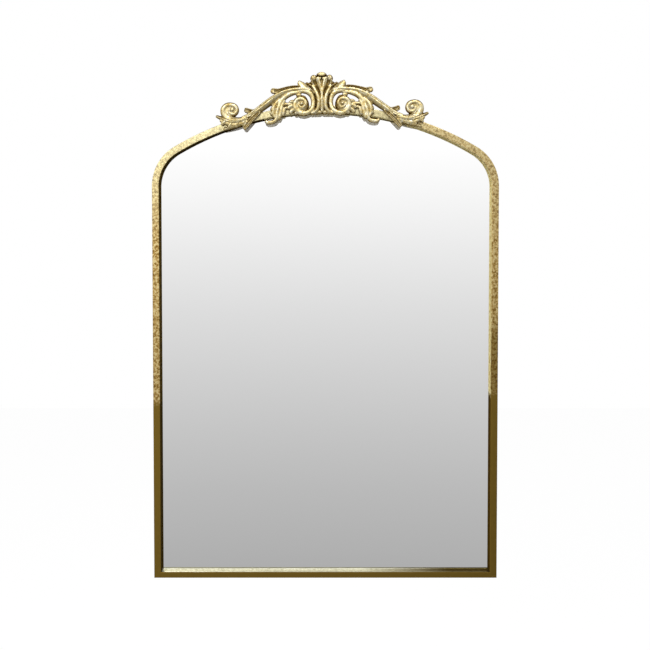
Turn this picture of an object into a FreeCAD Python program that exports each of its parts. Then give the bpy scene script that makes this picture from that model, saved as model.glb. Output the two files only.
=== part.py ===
import FreeCAD, Part
import math
import os

# Arched wall mirror: a bent steel tube frame with a cast scroll crest, silvered glass bonded to a
# backing board, lugs that hold the board, and two swinging D-rings on the back.
# Millimetres. X runs to the right, Y towards the wall and Z up. The wall plane is Y = 0, and the
# origin lies on it, midway between the two points where the D-rings hang.

V = FreeCAD.Vector
RIGHT = V(1, 0, 0)
BACK = V(0, 1, 0)
UP = V(0, 0, 1)

# Driving dimensions: frame
WIDTH = 610.0
SHOULDER_HEIGHT = 696.0
SHOULDER_RADIUS = 80.0
ARCH_RADIUS = 525.0
TUBE_FACE = 12.5
BOTTOM_FACE = 10.5
TUBE_DEPTH = 30.0
TUBE_WALL = 1.0
TUBE_EDGE = 0.8
HANG_HEIGHT = 600.0

# Driving dimensions: glass and board
GLASS_SETBACK = 12.5
GLASS_THICKNESS = 4.0
EDGE_GAP = 1.0
TAPE_THICKNESS = 1.0
TAPE_WIDTH = 25.0
TAPE_LENGTH = 560.0
TAPE_COUNT = 4
TAPE_PITCH = 130.0
BOARD_THICKNESS = 6.0

# Driving dimensions: lugs
LUG_WIDTH = 20.0
LUG_REACH = 18.0
LUG_THICKNESS = 1.5
LUG_CORNER = 5.0
LUG_HOLE_INSET = 9.0
STILE_LUG_HEIGHTS = (110.0, 350.0, 640.0)
BOTTOM_LUG_X = 165.0
ARCH_LUG_ANGLE = 17.0
SCREW_HOLE_RADIUS = 2.0
OVERCUT = 1.0

# Driving dimensions: hangers
HANGER_X = 240.0
WIRE_RADIUS = 1.5
WIRE_SIDES = 8
PIN_CLEARANCE = 0.1
STRAP_THICKNESS = 1.0
STRAP_WIDTH = 14.0
STRAP_LENGTH = 31.0
STRAP_CORNER = 3.5
STRAP_HOLE_OFFSETS = (11.0, 24.0)
RING_LEG_HALF = 8.0
RING_CORNER_RADIUS = 3.0
RING_SIDE = 3.0
RING_TURN = 22.5

# Driving dimensions: crest
CREST_SHIFT = -5.9
CREST_DROP = 1.5
CREST_TURN = 0.93
CREST_EDGE_SHARE = 0.4
CREST_STEP = 13.0
BOSS_SIDES = 8
BOSS_LEVELS = ((1.0, 0.0), (1.0, 0.4), (0.55, 1.0))

# Crest coils: angles from the top about the eye, centreline radii, widths and relief heights at the ends
COIL_TURN = 36.0
INNER_COIL = {"eye": (33.7, 1.9), "angles": (-225.0, 360.0), "radii": (4.2, 26.0), "widths": (5.0, 8.0),
              "heights": (9.0, 8.5)}
OUTER_COIL = {"eye": (160.5, -6.0), "angles": (180.0, -270.0), "radii": (21.0, 4.4), "widths": (12.0, 5.0),
              "heights": (9.5, 9.5)}

# Crest strands of the right half: x, z, width and relief height along each one, from the arch's top
SCROLL_ARM = [
    (49.2, 29.0, 10.0, 9.0),
    (63.3, 25.6, 13.0, 9.0),
    (77.3, 19.7, 14.0, 8.5),
    (91.4, 11.2, 13.0, 8.5),
    (105.4, 1.0, 12.0, 8.5),
    (117.7, -9.1, 11.0, 8.5),
    (130.0, -18.8, 11.0, 8.5),
    (142.3, -25.0, 12.0, 9.0),
    (152.0, -26.6, 13.0, 9.5),
]
CREST_LEAVES = [
    # Upper leaf along the arm
    [(38.7, 29.5, 4.0, 7.5), (52.7, 32.5, 6.0, 8.0), (66.8, 31.5, 7.0, 8.0), (77.3, 28.5, 7.0, 7.5),
     (87.0, 27.6, 6.5, 7.0)],
    # Small leaf half-way down the arm
    [(110.0, -3.0, 6.0, 7.0), (124.7, -7.0, 9.0, 7.5), (134.5, -4.7, 7.0, 7.0)],
    # Spike that crosses the tube
    [(101.9, 0.5, 5.0, 7.0), (112.4, -11.8, 7.0, 7.0), (123.0, -25.8, 6.5, 6.5), (131.8, -35.5, 5.5, 5.5),
     (139.0, -42.0, 3.5, 4.0)],
    # Hanging leaf with a curled tip
    [(60.0, 19.0, 12.0, 7.0), (71.0, 9.6, 17.0, 7.5), (76.7, -2.9, 18.0, 8.0), (79.5, -14.0, 16.0, 8.0),
     (83.0, -24.6, 12.0, 7.5), (90.5, -31.0, 9.0, 6.5), (98.5, -29.5, 7.0, 5.5)],
    # Twig between the hanging leaf and the inner coil
    [(74.0, 1.5, 7.0, 6.0), (65.0, 0.5, 8.0, 6.5), (56.0, -2.0, 8.0, 6.5), (47.0, -4.0, 6.0, 6.0)],
    # Leaf that wraps the inner coil's foot
    [(52.5, 4.0, 7.0, 5.5), (50.5, -8.5, 9.0, 6.0), (41.0, -15.5, 10.0, 6.5), (30.0, -17.0, 9.5, 6.5),
     (18.5, -12.5, 6.5, 5.5)],
    # Leaf inside the outer coil's neck
    [(141.0, -20.0, 6.0, 7.0), (149.0, -15.5, 8.0, 7.5), (160.0, -17.0, 7.0, 7.0)],
    # Outer coil's side leaf
    [(158.0, -27.5, 10.0, 7.0), (172.0, -24.0, 12.0, 7.0), (185.0, -15.5, 5.0, 4.5)],
    # Heel on the tube under the outer coil
    [(136.0, -28.0, 7.0, 6.0), (150.0, -34.0, 9.0, 6.5), (165.0, -34.5, 9.0, 6.5), (178.0, -32.5, 6.0, 5.0)],
    # Fan leaves, from the scroll inwards
    [(10.0, 3.0, 5.0, 7.0), (12.5, 18.1, 7.0, 8.0), (19.3, 27.2, 9.0, 8.5), (28.1, 34.0, 9.0, 8.0),
     (39.0, 40.8, 5.5, 6.5)],
    [(7.5, -10.0, 6.0, 7.0), (7.5, 5.0, 6.0, 8.5), (10.5, 20.0, 8.5, 9.5), (17.5, 33.0, 10.0, 9.5),
     (25.5, 41.0, 7.0, 7.5)],
    [(3.5, -13.0, 5.0, 7.5), (3.5, 5.0, 5.0, 9.0), (6.5, 24.0, 8.0, 10.5), (12.5, 40.0, 10.0, 11.0),
     (16.5, 47.0, 8.5, 11.0)],
    # Bud on the inner coil
    [(30.0, 11.0, 6.0, 7.0), (36.5, 15.0, 8.0, 8.0), (43.0, 17.0, 6.0, 7.0)],
    # Fan's foot
    [(0.0, -11.5, 7.0, 6.5), (9.0, -11.5, 7.0, 6.5), (20.0, -12.0, 6.0, 6.0)],
]
FAN_SPINE = [(0.0, -14.0, 6.0, 7.5), (0.0, 5.0, 6.0, 9.5), (0.0, 25.0, 9.0, 11.5), (0.0, 45.0, 13.0, 12.5),
             (0.0, 55.5, 11.0, 11.5)]

# Crest bosses of the right half: x, z, radius and relief height of each floor, eye and rolled tip
CREST_BOSSES = [
    (36.5, 0.0, 10.5, 4.5),
    (33.7, 1.9, 3.8, 10.5),
    (160.5, -6.0, 10.5, 5.0),
    (160.5, -5.0, 3.6, 11.0),
    (88.0, 27.5, 4.4, 8.0),
    (135.5, -4.5, 4.4, 8.0),
    (39.6, 41.2, 3.6, 7.5),
    (17.4, 47.6, 5.4, 12.5),
    (4.4, 52.4, 5.8, 13.5),
]

# Places worked out from the driving dimensions
BOTTOM_Z = -HANG_HEIGHT
FRONT_Y = -TUBE_DEPTH
GLASS_FRONT_Y = FRONT_Y + GLASS_SETBACK
GLASS_BACK_Y = GLASS_FRONT_Y + GLASS_THICKNESS
BOARD_FRONT_Y = GLASS_BACK_Y + TAPE_THICKNESS
BOARD_BACK_Y = BOARD_FRONT_Y + BOARD_THICKNESS
SHOULDER_CENTRE_X = WIDTH / 2 - SHOULDER_RADIUS
SHOULDER_Z = BOTTOM_Z + SHOULDER_HEIGHT
ARCH_CENTRE_Z = SHOULDER_Z - math.sqrt((ARCH_RADIUS - SHOULDER_RADIUS) ** 2 - SHOULDER_CENTRE_X ** 2)
ARCH_TOP_Z = ARCH_CENTRE_Z + ARCH_RADIUS
INNER_HALF = WIDTH / 2 - TUBE_FACE
RING_BOW_RADIUS = RING_LEG_HALF + RING_CORNER_RADIUS
LOOP_INNER = WIRE_RADIUS + PIN_CLEARANCE
LOOP_OUTER = LOOP_INNER + STRAP_THICKNESS
RING_AXIS_Y = BOARD_BACK_Y + LOOP_OUTER
RING_AXIS_Z = WIRE_RADIUS - (RING_CORNER_RADIUS + RING_SIDE + RING_BOW_RADIUS)


def arched_prism(inset, bottom_inset, y_front, y_back):
    """Solid of the frame's outline moved inwards, between two planes of constant Y."""
    half = WIDTH / 2 - inset
    shoulder = SHOULDER_RADIUS - inset
    arch = ARCH_RADIUS - inset
    low = BOTTOM_Z + bottom_inset
    meet = math.atan2(SHOULDER_Z - ARCH_CENTRE_Z, SHOULDER_CENTRE_X)
    middle = meet / 2

    def shoulder_point(side, angle):
        return V(side * (SHOULDER_CENTRE_X + shoulder * math.cos(angle)), y_front,
                 SHOULDER_Z + shoulder * math.sin(angle))

    top = V(0, y_front, ARCH_CENTRE_Z + arch)
    corners = [V(-half, y_front, low), V(half, y_front, low)]
    right, right_mid, right_meet = (shoulder_point(1, a) for a in (0, middle, meet))
    left, left_mid, left_meet = (shoulder_point(-1, a) for a in (0, middle, meet))
    edges = [
        Part.LineSegment(corners[0], corners[1]),
        Part.LineSegment(corners[1], right),
        Part.Arc(right, right_mid, right_meet),
        Part.Arc(right_meet, top, left_meet),
        Part.Arc(left_meet, left_mid, left),
        Part.LineSegment(left, corners[0]),
    ]
    wire = Part.Wire([edge.toShape() for edge in edges])
    return Part.Face(wire).extrude(V(0, y_back - y_front, 0))


def cylinder(radius, start, direction, length):
    """Plain cylinder from a start point."""
    return Part.makeCylinder(radius, length, start, direction)


def frame_ring():
    """Solid ring of the whole frame, with its four long edges eased."""
    ring = arched_prism(0, 0, FRONT_Y, 0).cut(
        arched_prism(TUBE_FACE, BOTTOM_FACE, FRONT_Y - OVERCUT, OVERCUT))
    long_edges = [e for e in ring.Edges if e.BoundBox.YLength < 0.01]
    return ring.makeChamfer(TUBE_EDGE, long_edges)


def frame_tubes(ring):
    """Bent tube of the stiles and arch, and the bottom tube mitred into it."""
    bore = arched_prism(TUBE_WALL, TUBE_WALL, FRONT_Y + TUBE_WALL, -TUBE_WALL).cut(
        arched_prism(TUBE_FACE - TUBE_WALL, BOTTOM_FACE - TUBE_WALL, FRONT_Y - OVERCUT, OVERCUT))
    tube = ring.cut(bore)
    low, high = BOTTOM_Z, BOTTOM_Z + BOTTOM_FACE
    near = FRONT_Y - OVERCUT
    corners = [V(-WIDTH / 2, near, low), V(WIDTH / 2, near, low), V(INNER_HALF, near, high),
               V(-INNER_HALF, near, high)]
    wedge = Part.Face(Part.makePolygon(corners + corners[:1])).extrude(BACK * (TUBE_DEPTH + 2 * OVERCUT))
    return tube.cut(wedge), tube.common(wedge)


def glass():
    """Silvered float glass, cut to the arch with a small gap all round."""
    return arched_prism(TUBE_FACE + EDGE_GAP, BOTTOM_FACE + EDGE_GAP, GLASS_FRONT_Y, GLASS_BACK_Y)


def foam_tape(index):
    """One upright strip of double-sided foam tape between the glass and the board."""
    x = (index - (TAPE_COUNT - 1) / 2) * TAPE_PITCH - TAPE_WIDTH / 2
    z = BOTTOM_Z + (SHOULDER_HEIGHT - TAPE_LENGTH) / 2
    return Part.makeBox(TAPE_WIDTH, TAPE_THICKNESS, TAPE_LENGTH, V(x, GLASS_BACK_Y, z))


def lug_places():
    """Foot of each lug on the tube's inner wall, with the direction it reaches inwards."""
    places = []
    for side in (-1, 1):
        for height in STILE_LUG_HEIGHTS:
            places.append((V(side * INNER_HALF, 0, BOTTOM_Z + height), V(-side, 0, 0)))
    for side in (-1, 1):
        places.append((V(side * BOTTOM_LUG_X, 0, BOTTOM_Z + BOTTOM_FACE), UP))
    for side in (-1, 1):
        angle = math.radians(90 - side * ARCH_LUG_ANGLE)
        out = V(math.cos(angle), 0, math.sin(angle))
        places.append((V(0, 0, ARCH_CENTRE_Z) + out * (ARCH_RADIUS - TUBE_FACE), out * -1))
    return places


def lug(foot, reach, ring):
    """Flat steel lug with cut corners and a screw hole, welded to the tube's inner wall behind the board."""
    across = BACK.cross(reach) * (LUG_WIDTH / 2)
    root = foot - reach * TUBE_FACE / 2 + V(0, BOARD_BACK_Y, 0)
    tip = foot + reach * LUG_REACH + V(0, BOARD_BACK_Y, 0)
    cut_across = BACK.cross(reach) * (LUG_WIDTH / 2 - LUG_CORNER)
    corners = [root - across, tip - across - reach * LUG_CORNER, tip - cut_across, tip + cut_across,
               tip + across - reach * LUG_CORNER, root + across]
    plate = Part.Face(Part.makePolygon(corners + corners[:1])).extrude(BACK * LUG_THICKNESS)
    hole = cylinder(SCREW_HOLE_RADIUS, tip - reach * LUG_HOLE_INSET, BACK, LUG_THICKNESS)
    return plate.cut(hole).cut(ring)


def backing_board():
    """Fibreboard panel behind the glass."""
    return arched_prism(TUBE_FACE + EDGE_GAP, BOTTOM_FACE + EDGE_GAP, BOARD_FRONT_Y, BOARD_BACK_Y)


def hanger_strap(side):
    """Steel strap on the board, with cut corners, rolled into a loop round the D-ring's leg."""
    middle = V(side * HANGER_X, BOARD_BACK_Y, RING_AXIS_Z)
    half = V(STRAP_WIDTH / 2, 0, 0)
    cut_half = V(STRAP_WIDTH / 2 - STRAP_CORNER, 0, 0)
    end = middle - UP * STRAP_LENGTH
    corners = [middle - half, middle + half, end + half + UP * STRAP_CORNER, end + cut_half, end - cut_half,
               end - half + UP * STRAP_CORNER]
    plate = Part.Face(Part.makePolygon(corners + corners[:1])).extrude(BACK * STRAP_THICKNESS)
    axis = middle - half + BACK * LOOP_OUTER
    strap = plate.fuse(cylinder(LOOP_OUTER, axis, RIGHT, STRAP_WIDTH))
    strap = strap.cut(cylinder(LOOP_INNER, axis, RIGHT, STRAP_WIDTH))
    for offset in STRAP_HOLE_OFFSETS:
        strap = strap.cut(cylinder(SCREW_HOLE_RADIUS, middle - UP * offset, BACK, STRAP_THICKNESS))
    return strap.removeSplitter()


def d_ring(side):
    """Wire D-ring of short lengths, standing up from its strap as it does on a wall hook."""
    leg, corner, bow = RING_LEG_HALF, RING_CORNER_RADIUS, RING_BOW_RADIUS
    bends = [
        (V(leg, 0, corner), corner, 0, 90),
        (V(0, 0, corner + RING_SIDE), bow, 90, 180),
        (V(-leg, 0, corner), corner, 270, 90),
    ]
    axis = V(side * HANGER_X, RING_AXIS_Y, RING_AXIS_Z)
    sections = []
    for centre, radius, start, turn in bends:
        count = round(turn / RING_TURN)
        for i in range(count + 1):
            heading = math.radians(start + turn * i / count)
            inwards = V(-math.sin(heading), 0, math.cos(heading))
            sections.append(wire_section(axis + centre - inwards * radius, inwards))
    return Part.makeLoft(sections, True, True, True)


def wire_section(place, inwards):
    """Outline of the ring's wire, across its run."""
    corners = []
    for i in range(WIRE_SIDES + 1):
        angle = 2 * math.pi * i / WIRE_SIDES
        spoke = BACK * math.cos(angle) + inwards * math.sin(angle)
        corners.append(place + spoke * WIRE_RADIUS)
    return Part.makePolygon(corners)


def crest_point(x, z, height):
    """Point of the crest from its own X and Z, measured from the arch's top, and its relief height."""
    return V(x, FRONT_Y - height, ARCH_TOP_Z + z)


def between(ends, share):
    """Value part-way from the first end to the second."""
    return ends[0] + share * (ends[1] - ends[0])


def strand(path):
    """Loft a scroll, rib or leaf along its path of (x, z, width, height), with a ridged face."""
    points = [V(x, 0, z) for x, z, _, _ in path]
    knots = [0.0]
    for here, there in zip(points, points[1:]):
        knots.append(knots[-1] + (there - here).Length)
    spine = Part.BSplineCurve()
    spine.interpolate(Points=points, Parameters=knots)
    sections = []
    for k in range(len(path) - 1):
        steps = max(1, round((knots[k + 1] - knots[k]) / CREST_STEP))
        shares = [i / steps for i in range(steps)]
        if k == len(path) - 2:
            shares.append(1.0)
        for share in shares:
            at = between(knots[k:k + 2], share)
            width, height = (between((path[k][n], path[k + 1][n]), share) for n in (2, 3))
            sections.append(strand_section(spine.value(at), spine.tangent(at)[0], width, height))
    return Part.makeLoft(sections, True, True)


def strand_section(place, tangent, width, height):
    """Cross-section of a strand: flat back, upright sides and two slopes that meet in a ridge."""
    middle = crest_point(place.x, place.z, 0)
    side = V(tangent.z, 0, -tangent.x) * (width / 2)
    edge = BACK * (-height * CREST_EDGE_SHARE)
    corners = [middle - side, middle + side, middle + side + edge, middle - BACK * height,
               middle - side + edge]
    return Part.makePolygon(corners + corners[:1])


def boss(x, z, radius, height):
    """Round raised boss, such as a coil's floor, its eye or a leaf's rolled tip."""
    rings = []
    for radius_share, height_share in BOSS_LEVELS:
        corners = []
        for i in range(BOSS_SIDES + 1):
            angle = 2 * math.pi * i / BOSS_SIDES
            corners.append(crest_point(x + radius * radius_share * math.cos(angle),
                                       z + radius * radius_share * math.sin(angle), height * height_share))
        rings.append(Part.makePolygon(corners))
    return Part.makeLoft(rings, True, True)


def coil(eye, angles, radii, widths, heights):
    """Path of a scroll's coil about its eye: a spiral whose radius grows by a steady ratio."""
    count = round(abs(angles[1] - angles[0]) / COIL_TURN)
    path = []
    for i in range(count + 1):
        share = i / count
        angle = math.radians(between(angles, share))
        radius = radii[0] * (radii[1] / radii[0]) ** share
        path.append((eye[0] + radius * math.sin(angle), eye[1] + radius * math.cos(angle),
                     between(widths, share), between(heights, share)))
    return path


def scroll_stem():
    """Main S-scroll of the right half, from its inner coil over the top to its outer coil."""
    return strand(coil(**INNER_COIL) + SCROLL_ARM + coil(**OUTER_COIL))


def crest():
    """Cast crest: a fan of leaves between two leafy scrolls, flat on the back, seated on the arch."""
    half = [scroll_stem()]
    half += [strand(path) for path in CREST_LEAVES]
    half += [boss(*place) for place in CREST_BOSSES]
    other_half = [piece.mirror(V(0, 0, 0), V(1, 0, 0)) for piece in half]
    casting = strand(FAN_SPINE).multiFuse(half + other_half).removeSplitter()
    casting.rotate(V(0, 0, ARCH_TOP_Z), BACK, -CREST_TURN)
    casting.translate(V(CREST_SHIFT, 0, -CREST_DROP))
    return casting


def export(name, shape):
    """Write one piece as parts/<name>.step."""
    shape.exportStep("parts/" + name + ".step")


def main():
    """Build every piece and write its STEP file."""
    os.makedirs("parts", exist_ok=True)
    ring = frame_ring()
    arch, bottom = frame_tubes(ring)
    export("frame_arch_tube", arch)
    export("frame_bottom_tube", bottom)
    export("crest_casting", crest())
    export("mirror_glass", glass())
    for i in range(TAPE_COUNT):
        export("foam_tape_" + str(i + 1), foam_tape(i))
    export("backing_board", backing_board())
    for i, (foot, reach) in enumerate(lug_places()):
        export("board_lug_" + str(i + 1), lug(foot, reach, ring))
    for name, side in (("left", -1), ("right", 1)):
        export("hanger_strap_" + name, hanger_strap(side))
        export("d_ring_" + name, d_ring(side))


main()
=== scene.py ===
import logging
import math
from abc import ABC, abstractmethod
from collections.abc import Callable
from dataclasses import dataclass
from enum import Enum

import bpy
import numpy as np
from mathutils import Matrix, Vector


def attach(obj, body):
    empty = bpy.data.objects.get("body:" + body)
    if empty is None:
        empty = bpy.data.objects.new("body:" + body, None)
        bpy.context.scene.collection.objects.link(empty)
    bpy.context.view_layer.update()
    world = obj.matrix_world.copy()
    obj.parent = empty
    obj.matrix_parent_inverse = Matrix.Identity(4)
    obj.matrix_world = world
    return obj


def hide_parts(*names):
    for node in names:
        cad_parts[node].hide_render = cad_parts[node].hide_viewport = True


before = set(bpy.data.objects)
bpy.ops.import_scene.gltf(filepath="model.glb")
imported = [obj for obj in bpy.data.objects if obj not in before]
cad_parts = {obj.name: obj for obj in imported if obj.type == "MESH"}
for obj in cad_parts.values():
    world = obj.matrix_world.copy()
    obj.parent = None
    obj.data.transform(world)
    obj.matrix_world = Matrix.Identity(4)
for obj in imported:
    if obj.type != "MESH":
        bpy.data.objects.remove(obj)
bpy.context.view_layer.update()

MM = 0.001
NEAR_MM = 0.01
log = logging.getLogger("pediment_mirror")

WHITE = (1.0, 1.0, 1.0, 1.0)
Material = bpy.types.Material
Piece = bpy.types.Object
Tree = bpy.types.NodeTree
Socket = bpy.types.NodeSocket
Inputs = dict[str, object]
Outputs = bpy.types.NodeOutputs
Place = tuple[float, float, float]
Path = tuple[tuple[float, float, float, float], ...]


def linear(hex_colour: str) -> tuple[float, float, float, float]:
    """Turn an sRGB hex colour into linear RGBA.

    Args:
        hex_colour: Six hex digits, such as "c8a45a".

    Returns:
        Linear red, green, blue and an alpha of 1.
    """
    parts = (int(hex_colour[i:i + 2], 16) / 255 for i in (0, 2, 4))
    rgb = [p / 12.92 if p <= 0.04045 else ((p + 0.055) / 1.055) ** 2.4 for p in parts]
    return (rgb[0], rgb[1], rgb[2], 1.0)


def add_node(tree: Tree, kind: str, inputs: dict | None = None, stops: tuple = (), **settings: object) -> Outputs:
    """Add a node with its settings, links and ramp stops.

    Args:
        tree: Node tree of a material or of the world.
        kind: Blender's node type, after the word ShaderNode.
        inputs: Value or output socket for each input, by name or number.
        stops: Position and linear colour of each stop of a colour ramp.
        settings: Properties of the node.

    Returns:
        The new node's outputs.
    """
    node = tree.nodes.new(f"ShaderNode{kind}")
    for name, value in settings.items():
        setattr(node, name, value)
    for name, value in (inputs or {}).items():
        if isinstance(value, Socket):
            tree.links.new(value, node.inputs[name])
        else:
            node.inputs[name].default_value = value
    for i, (position, colour) in enumerate(stops):
        elements = node.color_ramp.elements
        stop = elements[i] if i < len(elements) else elements.new(position)
        stop.position = position
        stop.color = colour
    return node.outputs


def blank_material(name: str) -> tuple[Material, Tree]:
    """Make a material with an empty node tree.

    Args:
        name: The material's name.

    Returns:
        The material and its node tree.
    """
    material = bpy.data.materials.new(name)
    material.use_nodes = True
    material.node_tree.nodes.clear()
    return material, material.node_tree


def started(name: str) -> Piece:
    """Name the primitive that was just added.

    Args:
        name: Name of its object and mesh.

    Returns:
        The object.
    """
    piece = bpy.context.active_object
    piece.name = name
    piece.data.name = name
    return piece


def deselect() -> None:
    """Leave nothing selected in object mode."""
    bpy.ops.object.select_all(action="DESELECT")


def select_only(*pieces: Piece) -> None:
    """Select some pieces alone.

    Args:
        pieces: The pieces, of which the first becomes active.
    """
    deselect()
    for piece in pieces:
        piece.select_set(True)
    bpy.context.view_layer.objects.active = pieces[0]


def edit_mode(on: bool) -> None:
    """Go into edit mode or back to object mode."""
    bpy.ops.object.mode_set(mode="EDIT" if on else "OBJECT")


def lay(middle_mm: Place, spans_mm: tuple[float, ...] = (), turn: float = 0.0, axis: str = "Y") -> None:
    """Turn, size and shift the active piece in edit mode, and leave it there with all of it selected.

    Args:
        middle_mm: Where its origin goes.
        spans_mm: Size of its unit shape along X, Y and Z, if that changes.
        turn: Angle in degrees, made first.
        axis: Axis of that turn.
    """
    edit_mode(True)
    bpy.ops.mesh.select_all(action="SELECT")
    if turn:
        bpy.ops.transform.rotate(value=math.radians(turn), orient_axis=axis, center_override=(0, 0, 0))
    if spans_mm:
        bpy.ops.transform.resize(value=[span * MM for span in spans_mm], center_override=(0, 0, 0))
    bpy.ops.transform.translate(value=Vector(middle_mm) * MM)


def apply_modifier(piece: Piece, kind: str, **settings: object) -> None:
    """Add a modifier to a piece, set it up and apply it.

    Args:
        piece: The piece to change.
        kind: Blender's modifier type.
        settings: Properties of the modifier.
    """
    select_only(piece)
    modifier = piece.modifiers.new(kind.title(), kind)
    for name, value in settings.items():
        setattr(modifier, name, value)
    bpy.ops.object.modifier_apply(modifier=modifier.name)


def close_mesh(piece: Piece, merge_mm: float = NEAR_MM) -> None:
    """Merge a piece's doubled points and turn its faces outwards.

    Args:
        piece: The piece to close.
        merge_mm: Points nearer than this are merged.
    """
    select_only(piece)
    edit_mode(True)
    bpy.ops.mesh.select_all(action="SELECT")
    bpy.ops.mesh.remove_doubles(threshold=merge_mm * MM)
    bpy.ops.mesh.normals_make_consistent(inside=False)
    edit_mode(False)


def settle(piece: Piece, smooth_degrees: float) -> None:
    """Put a piece's place into its mesh and shade it smooth below an angle.

    Args:
        piece: The piece to finish.
        smooth_degrees: Edges sharper than this stay sharp.
    """
    select_only(piece)
    bpy.ops.object.transform_apply(location=True, rotation=True, scale=True)
    bpy.ops.object.shade_smooth_by_angle(angle=math.radians(smooth_degrees))


def dress(piece: Piece, material: Material) -> None:
    """Give a piece one material all over.

    Args:
        piece: A new piece or a CAD node's object.
        material: The finish that it shows.
    """
    piece.data.materials.clear()
    piece.data.materials.append(material)


def mount(piece: Piece, body: str, slot: str, *nodes: str) -> None:
    """Make a finished piece ride on a body, and hide the CAD nodes that it replaces.

    Args:
        piece: The finished piece.
        body: CAD body that carries it.
        slot: The record's material slot; not used.
        nodes: CAD nodes that it replaces.
    """
    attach(piece, body)
    if nodes:
        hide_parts(*nodes)
    log.info("%s: %d faces on %s", piece.name, len(piece.data.polygons), body)


@dataclass(frozen=True)
class Finish(ABC):
    """Finish of a real material, drawn on object coordinates in metres."""

    name: str

    @abstractmethod
    def surface(self, tree: Tree, place: Socket) -> Inputs:
        """Draw the finish's patterns.

        Args:
            tree: The material's node tree.
            place: Object coordinates.

        Returns:
            Inputs of the shader.
        """

    def material(self) -> Material:
        """Build the material that shows the finish.

        Returns:
            A material with one shader.
        """
        made, tree = blank_material(self.name)
        place = add_node(tree, "TexCoord")["Object"]
        shader = add_node(tree, "BsdfPrincipled", self.surface(tree, place))
        add_node(tree, "OutputMaterial", {"Surface": shader[0]})
        return made


@dataclass(frozen=True)
class PaintedTone:
    """Painted light over part of the leaf: a paler tint for a painted highlight, or a darker one for painted shade
    when it darkens. Its shares at two places across are reached between two heights.
    """

    colour: str
    across_mm: tuple[float, float]
    shares: tuple[float, float]
    heights_mm: tuple[float, float]
    darkens: bool = False

    def over(self, tree: Tree, place: Socket, leaf: Socket) -> Socket:
        """Lay the tint over the leaf.

        Args:
            tree: The material's node tree.
            place: Object coordinates.
            leaf: The leaf's colour.

        Returns:
            The toned colour.
        """
        parts = add_node(tree, "SeparateXYZ", {0: place})
        most = add_node(tree, "MapRange", {
            "Value": parts["X"], "From Min": self.across_mm[0] * MM, "From Max": self.across_mm[1] * MM,
            "To Min": self.shares[0], "To Max": self.shares[1]})["Result"]
        share = add_node(tree, "MapRange", {
            "Value": parts["Z"], "From Min": self.heights_mm[0] * MM, "From Max": self.heights_mm[1] * MM,
            "To Max": most})["Result"]
        return add_node(tree, "Mix", {0: share, 6: leaf, 7: linear(self.colour)}, data_type="RGBA",
                        blend_type="MULTIPLY" if self.darkens else "MIX")[2]


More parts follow.
